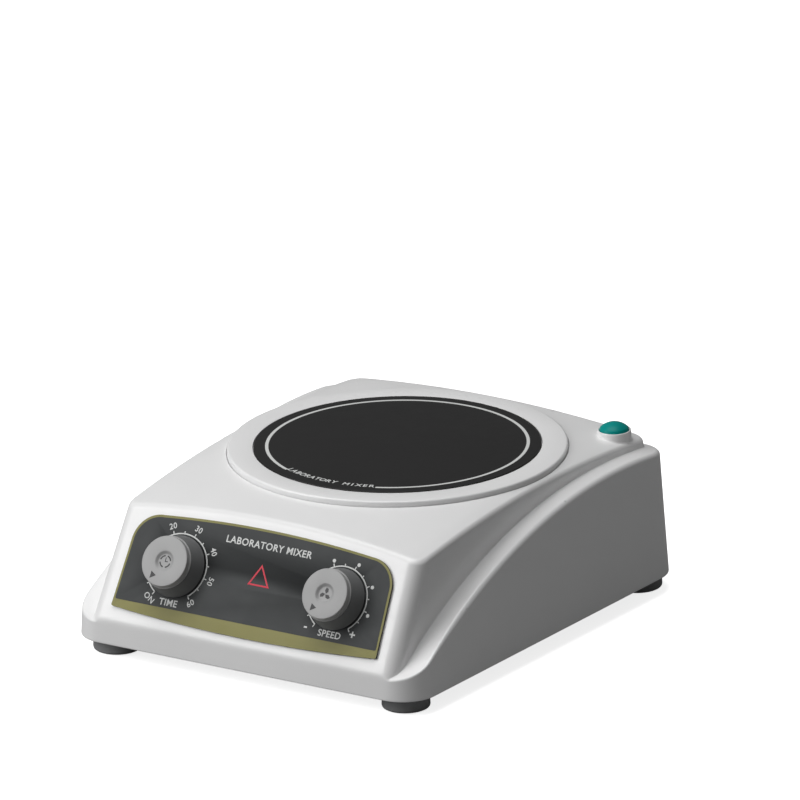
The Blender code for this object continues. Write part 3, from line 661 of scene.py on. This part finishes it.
def time_labels(h):
    """Numbers at every second mark, upright near the foot of the dial."""
    labels = {0: "ON", 3: "20", 4: "30", 5: "40", 6: "50", 7: "60"}
    for i, label in labels.items():
        angle = SCALE_START + 2 * SCALE_STEP * i
        x, y = polar(16.4, 90 - angle)
        flip = 180 if abs(angle) > 120 else 0
        turn = math.radians(flip - angle)
        lettering(f"time_label_{label}", label, 2.3,
                  on_slope(TIME_U + x, DIAL_V + y, h) @ Matrix.Rotation(turn, 4, "Z"),
                  weight=0.05)


def triangle(h):
    """Red outlined triangle between the dials."""
    apex, left, right = Vector((0.5, 32.9)), Vector((-3.9, 24.3)), Vector((6.0, 24.3))
    centre = (apex + left + right) / 3
    corners = [apex, left, right]
    for i in range(3):
        a, b = corners[i], corners[(i + 1) % 3]
        inner = [centre + (p - centre) * 0.77 for p in (a, b)]
        outline = [tuple(p) for p in (a, b, inner[1], inner[0])]
        print_face(f"sign_side_{i + 1}", outline, PRINT_RED, on_slope(0, 0, h))


def scale(name, u, h):
    """Round scale with long and short marks."""
    place = on_slope(u, DIAL_V, h)
    arc_strip(f"{name}_scale", 12.85, 13.35, 90 - 142.4, 90 + 147.8, 120, PRINT_WHITE, place)
    for i in range(15):
        angle = SCALE_START + SCALE_STEP * i
        reach = 14.5 if i % 2 == 0 else 14.1
        mark = [(-0.22, 13.2), (0.22, 13.2), (0.22, reach), (-0.22, reach)]
        turn = Matrix.Rotation(math.radians(-angle), 4, "Z")
        print_face(f"{name}_mark_{i + 1}", mark, PRINT_WHITE, place @ turn)


# --- knobs --------------------------------------------------------------------
def knob(name, u, body):
    """Light cap with a dished middle on a dark cone; both turn with the body."""
    place = on_slope(u, DIAL_V)
    top = KNOB_TOP
    dish = [(4.3 - 1.6 * i / 8, top - KNOB_DISH * math.sin(math.pi / 2 * i / 8) ** 2)
            for i in range(9)]
    profile = [(3.05, 8.6), (3.05, 5.1), (5.9, 5.1), (5.9, 8.7), (10.5, 8.7), (10.5, 9.1),
               (KNOB_RADIUS + 0.1, 9.25), (KNOB_RADIUS, top), *dish]
    radii = [0, 0, 0, 0, 0.15, 0.2, 0, 0.35] + [0.0] * len(dish)
    cap = lathe(f"{name}_cap", round_off(profile + [(0, top - KNOB_DISH)], radii + [0]), 96,
                [SLOTS["knob_grey"]], body, place, 40)
    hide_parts(f"{name}_knob")
    cone = [(6.2, 7.2), (6.2, 8.4), (10.4, 8.4), (12.3, 1.5), (11.0, 1.5), (9.6, 7.2),
            (6.2, 7.2)]
    radii = [0, 0, 0.3, 0.2, 0, 0, 0]
    # The cone's colour carries painted light for the shade under the cap.
    skirt = lathe(f"{name}_cone", round_off(cone, radii), 96, [SKIRT_GREY_PAINTED_LIGHT],
                  body, place, 40)
    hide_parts(f"{name}_skirt")
    turn = Matrix.Rotation(math.radians(149), 4, "Z")
    pointer = [(-1.4, 6.2), (1.4, 6.2), (0, 8.8)]
    print_face(f"{name}_pointer", pointer, PRINT_DARK,
               on_slope(u, DIAL_V, top + INK / 2) @ turn, body)
    icon = on_slope(u, DIAL_V, top - KNOB_DISH + INK / 2)
    if name == "time":
        clock_icon(icon, body)
    else:
        blade_icon(icon, body)


def clock_icon(place, body):
    for i in range(4):
        arc_strip(f"time_icon_ring_{i + 1}", 2.0, 2.55, 90 * i + 12, 90 * i + 78, 12,
                  PRINT_DARK, place, body)
    hands = [[(-0.17, -0.2), (0.17, -0.2), (0.17, 1.6), (-0.17, 1.6)],
             [(-0.17, -0.17), (1.2, -0.17), (1.2, 0.17), (-0.17, 0.17)]]
    for i, hand in enumerate(hands, start=1):
        print_face(f"time_icon_hand_{i}", hand, PRINT_DARK, place, body)


def blade_icon(place, body):
    blade = [(0.1, 0.1), (1.0, 1.0), (0.85, 2.2), (-0.2, 2.6), (-0.6, 1.35)]
    for i in range(3):
        spin = Matrix.Rotation(math.radians(120 * i), 4, "Z")
        print_face(f"speed_icon_blade_{i + 1}", blade, PRINT_DARK, place @ spin, body)


def feet():
    for place in ("front_left", "front_right", "rear_left", "rear_right"):
        low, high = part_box(f"foot_{place}")
        x, y = (low[0] + high[0]) / 2 / MM, (low[1] + high[1]) / 2 / MM
        profile = [(2.3, 6.1), (2.3, 2.8), (5.2, 2.8), (5.2, 0.0), (FOOT_RADIUS, 0.0),
                   (FOOT_RADIUS - 0.3, 6.1), (2.3, 6.1)]
        # The pads' colour carries painted light for the shade under the housing.
        foot = lathe(f"foot_{place}_pad", round_off(profile, [0, 0, 0, 0.4, 1.3, 0, 0]), 64,
                     [SLOTS["rubber"]], "body", at(x, y))
        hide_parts(f"foot_{place}")


# --- surroundings -------------------------------------------------------------
def floor_paint():
    """Pale where it is seen, but throwing little light back on the housing's sides."""
    paint = bpy.data.materials.new("floor")
    paint.use_nodes = True
    tree = paint.node_tree
    shader = tree.nodes["Principled BSDF"]
    shader.inputs["Roughness"].default_value = 0.9
    shader.inputs["Specular IOR Level"].default_value = 0.0
    shader.inputs["Emission Strength"].default_value = 1.0
    seen = tree.nodes.new("ShaderNodeLightPath").outputs["Is Camera Ray"]
    for socket, hidden, shown in (("Base Color", FLOOR_BOUNCE, FLOOR_SEEN),
                                  ("Emission Color", 0.0, FLOOR_GLOW)):
        mix = tree.nodes.new("ShaderNodeMix")
        mix.data_type = "RGBA"
        mix.inputs[6].default_value = (hidden, hidden, hidden, 1)
        mix.inputs[7].default_value = (shown, shown, shown, 1)
        tree.links.new(seen, mix.inputs["Factor"])
        tree.links.new(mix.outputs[2], shader.inputs[socket])
    return paint


def floor():
    bm = bmesh.new()
    bmesh.ops.create_grid(bm, x_segments=1, y_segments=1, size=9000.0)
    ground = piece("floor", bm, [floor_paint()], None)
    ground.location.z = -0.0002


def studio():
    """White where it is seen, faint where it lights the object."""
    world = bpy.data.worlds.new("studio")
    bpy.context.scene.world = world
    world.use_nodes = True
    tree = world.node_tree
    background = tree.nodes["Background"]
    background.inputs["Color"].default_value = (1, 1, 1, 1)
    sky = tree.nodes.new("ShaderNodeLightPath")
    level = tree.nodes.new("ShaderNodeMath")
    level.operation = "MULTIPLY_ADD"
    level.inputs[1].default_value = 1.0 - AMBIENT
    level.inputs[2].default_value = AMBIENT
    tree.links.new(sky.outputs["Is Camera Ray"], level.inputs[0])
    tree.links.new(level.outputs[0], background.inputs["Strength"])


def lights():
    for name, direction, distance, size, power in LIGHTS:
        data = bpy.data.lights.new(name, "AREA")
        data.size = size
        data.energy = power
        lamp = bpy.data.objects.new(name, data)
        bpy.context.scene.collection.objects.link(lamp)
        towards = Vector(direction).normalized()
        lamp.location = Vector((0, 0, 0.04)) + towards * distance
        lamp.rotation_euler = towards.to_track_quat("Z", "Y").to_euler()


def camera():
    azimuth, elevation, roll = (math.radians(a) for a in (AZIMUTH, ELEVATION, ROLL))
    back = Vector((math.sin(azimuth) * math.cos(elevation),
                   -math.cos(azimuth) * math.cos(elevation), math.sin(elevation)))
    level = Vector((math.cos(azimuth), math.sin(azimuth), 0))
    upright = back.cross(level)
    right = math.cos(roll) * level - math.sin(roll) * upright
    up = math.sin(roll) * level + math.cos(roll) * upright
    middle = Vector((0, PLATE_Y, DISC_TOP)) + VIEW_SHIFT[0] * right + VIEW_SHIFT[1] * up
    data = bpy.data.cameras.new("camera")
    data.type = "ORTHO"
    data.ortho_scale = VIEW_WIDTH * MM
    obj = bpy.data.objects.new("camera", data)
    bpy.context.scene.collection.objects.link(obj)
    turn = Matrix((right, up, back)).transposed().to_4x4()
    obj.matrix_world = Matrix.Translation((middle + back * 900.0) * MM) @ turn
    bpy.context.scene.camera = obj


camera()
housing()
button_collar()
power_button()
stirring_plate()
control_panel()
knob("time", TIME_U, "time_dial")
knob("speed", SPEED_U, "speed_dial")
feet()
floor()
studio()
lights()
bpy.context.scene.view_settings.view_transform = "Standard"
